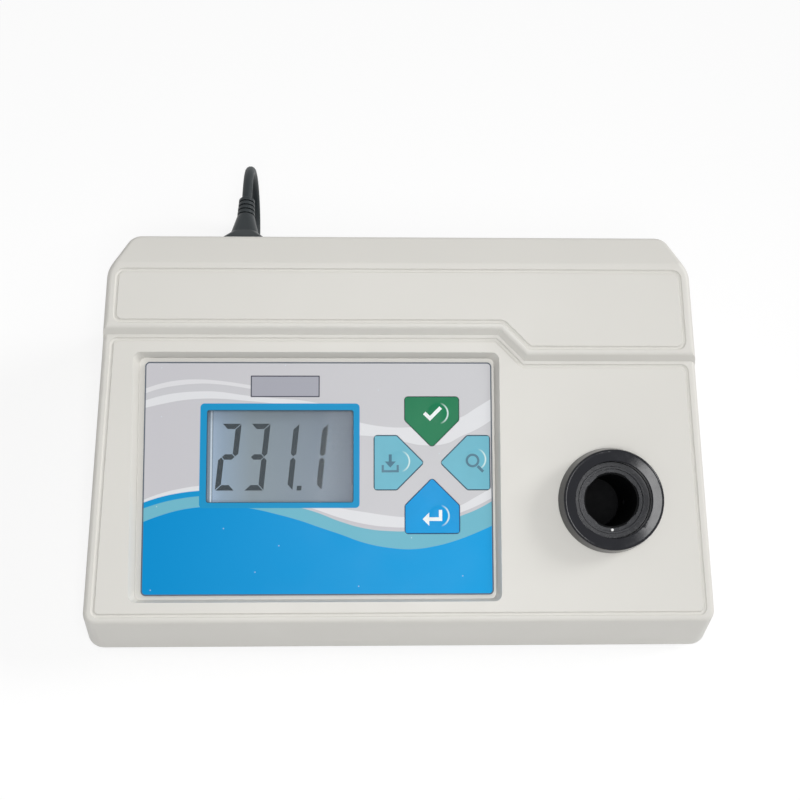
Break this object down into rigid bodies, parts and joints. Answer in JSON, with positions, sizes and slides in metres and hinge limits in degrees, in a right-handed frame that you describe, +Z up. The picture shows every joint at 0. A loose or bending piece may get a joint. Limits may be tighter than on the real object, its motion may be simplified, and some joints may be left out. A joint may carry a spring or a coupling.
{
  "type": "beer chromaticity tester",
  "caption": "Bench tester with a sloped face, a display, a keypad of pointed keys, a black collared sample well and a plugged-in mains lead at the back.",
  "frame": {"origin": "middle of the housing's box, without the lead, on the surface that the feet stand on", "axes": "+X to the user's right, +Y to the rear, +Z up"},
  "size_m": [0.3416, 0.3004, 0.119],
  "materials": {
    "housing": "fine-grained off-white moulding",
    "tray": "moulded grey",
    "rubber": "matt",
    "screw_steel": "zinc plated",
    "membrane": "printed film, satin",
    "key_film": "printed film, satin",
    "circuit_film": "film",
    "spring_steel": "bright",
    "window": "clear pane",
    "lcd": "grey reflective",
    "white_plastic": "diffuser",
    "black_plastic": "moulded",
    "gloss_black": "polished",
    "circuit_board": "solder mask",
    "chip_plastic": "moulded",
    "white_print": "printed dot",
    "anodised": "black anodised",
    "clear_lens": "polished",
    "filter_glass": "coated",
    "metal_can": "plated",
    "contact_brass": "plated",
    "core_steel": "lacquered laminations",
    "winding": "taped copper winding",
    "board_parts": "mixed components",
    "cord_rubber": "matt"
  },
  "bodies": {
    "housing": {"upper_cover": "housing", "base_tray": "tray", "cover_screws": "screw_steel", "rubber_feet": "rubber", "foot_screws": "screw_steel", "keypad_overlay": "membrane", "keypad_circuit": "circuit_film", "key_domes": "spring_steel", "keypad_tail": "circuit_film", "display_window": "window", "lcd_glass": "lcd", "backlight_plate": "white_plastic", "lcd_bezel": "black_plastic", "main_board": "circuit_board", "board_screws": "screw_steel", "board_chips": "chip_plastic", "board_connectors": "white_plastic", "well_collar": "gloss_black", "collar_nut": "black_plastic", "well_guide": "black_plastic", "index_mark": "white_print", "sample_chamber": "anodised", "optical_block": "anodised", "block_screws": "screw_steel", "led_lamp": "clear_lens", "collimating_lens": "clear_lens", "colour_filter": "filter_glass", "photodiode": "metal_can", "detector_board": "circuit_board", "power_inlet": "black_plastic", "inlet_pins": "contact_brass", "inlet_screws": "screw_steel", "switch_body": "black_plastic", "fuse_holder": "black_plastic", "transformer_core": "core_steel", "transformer_coil": "winding", "transformer_screws": "screw_steel", "power_board": "circuit_board", "power_board_screws": "screw_steel", "power_board_parts": "board_parts", "lead_connector": "cord_rubber", "power_cord": "cord_rubber", "cord_hank": "cord_rubber", "cord_tie": "black_plastic", "cord_tail": "cord_rubber", "mains_plug": "cord_rubber", "plug_pins": "contact_brass"},
    "key_top": {"key_top": "key_film"},
    "key_left": {"key_left": "key_film"},
    "key_right": {"key_right": "key_film"},
    "key_bottom": {"key_bottom": "key_film"},
    "switch_rocker": {"switch_rocker": "black_plastic"},
    "fuse_cap": {"fuse_cap": "black_plastic", "fuse_link": "clear_lens"}
  },
  "joints": [
    {"name": "key_top_press", "type": "slide", "parent": "housing", "child": "key_top", "axis": [0, 0.3746, -0.9272], "range_m": [0, 0.00035], "stiffness_N_per_m": 3000},
    {"name": "key_left_press", "type": "slide", "parent": "housing", "child": "key_left", "axis": [0, 0.3746, -0.9272], "range_m": [0, 0.00035], "stiffness_N_per_m": 3000},
    {"name": "key_right_press", "type": "slide", "parent": "housing", "child": "key_right", "axis": [0, 0.3746, -0.9272], "range_m": [0, 0.00035], "stiffness_N_per_m": 3000},
    {"name": "key_bottom_press", "type": "slide", "parent": "housing", "child": "key_bottom", "axis": [0, 0.3746, -0.9272], "range_m": [0, 0.00035], "stiffness_N_per_m": 3000},
    {"name": "switch_rock", "type": "hinge", "parent": "housing", "child": "switch_rocker", "pos_m": [-0.038, 0.1005, 0.066], "axis": [1, 0, 0], "range_deg": [0, 16]},
    {"name": "fuse_cap_turn", "type": "hinge", "parent": "housing", "child": "fuse_cap", "pos_m": [0.004, 0.1005, 0.066], "axis": [0, 1, 0], "range_deg": [0, 90]}
  ]
}
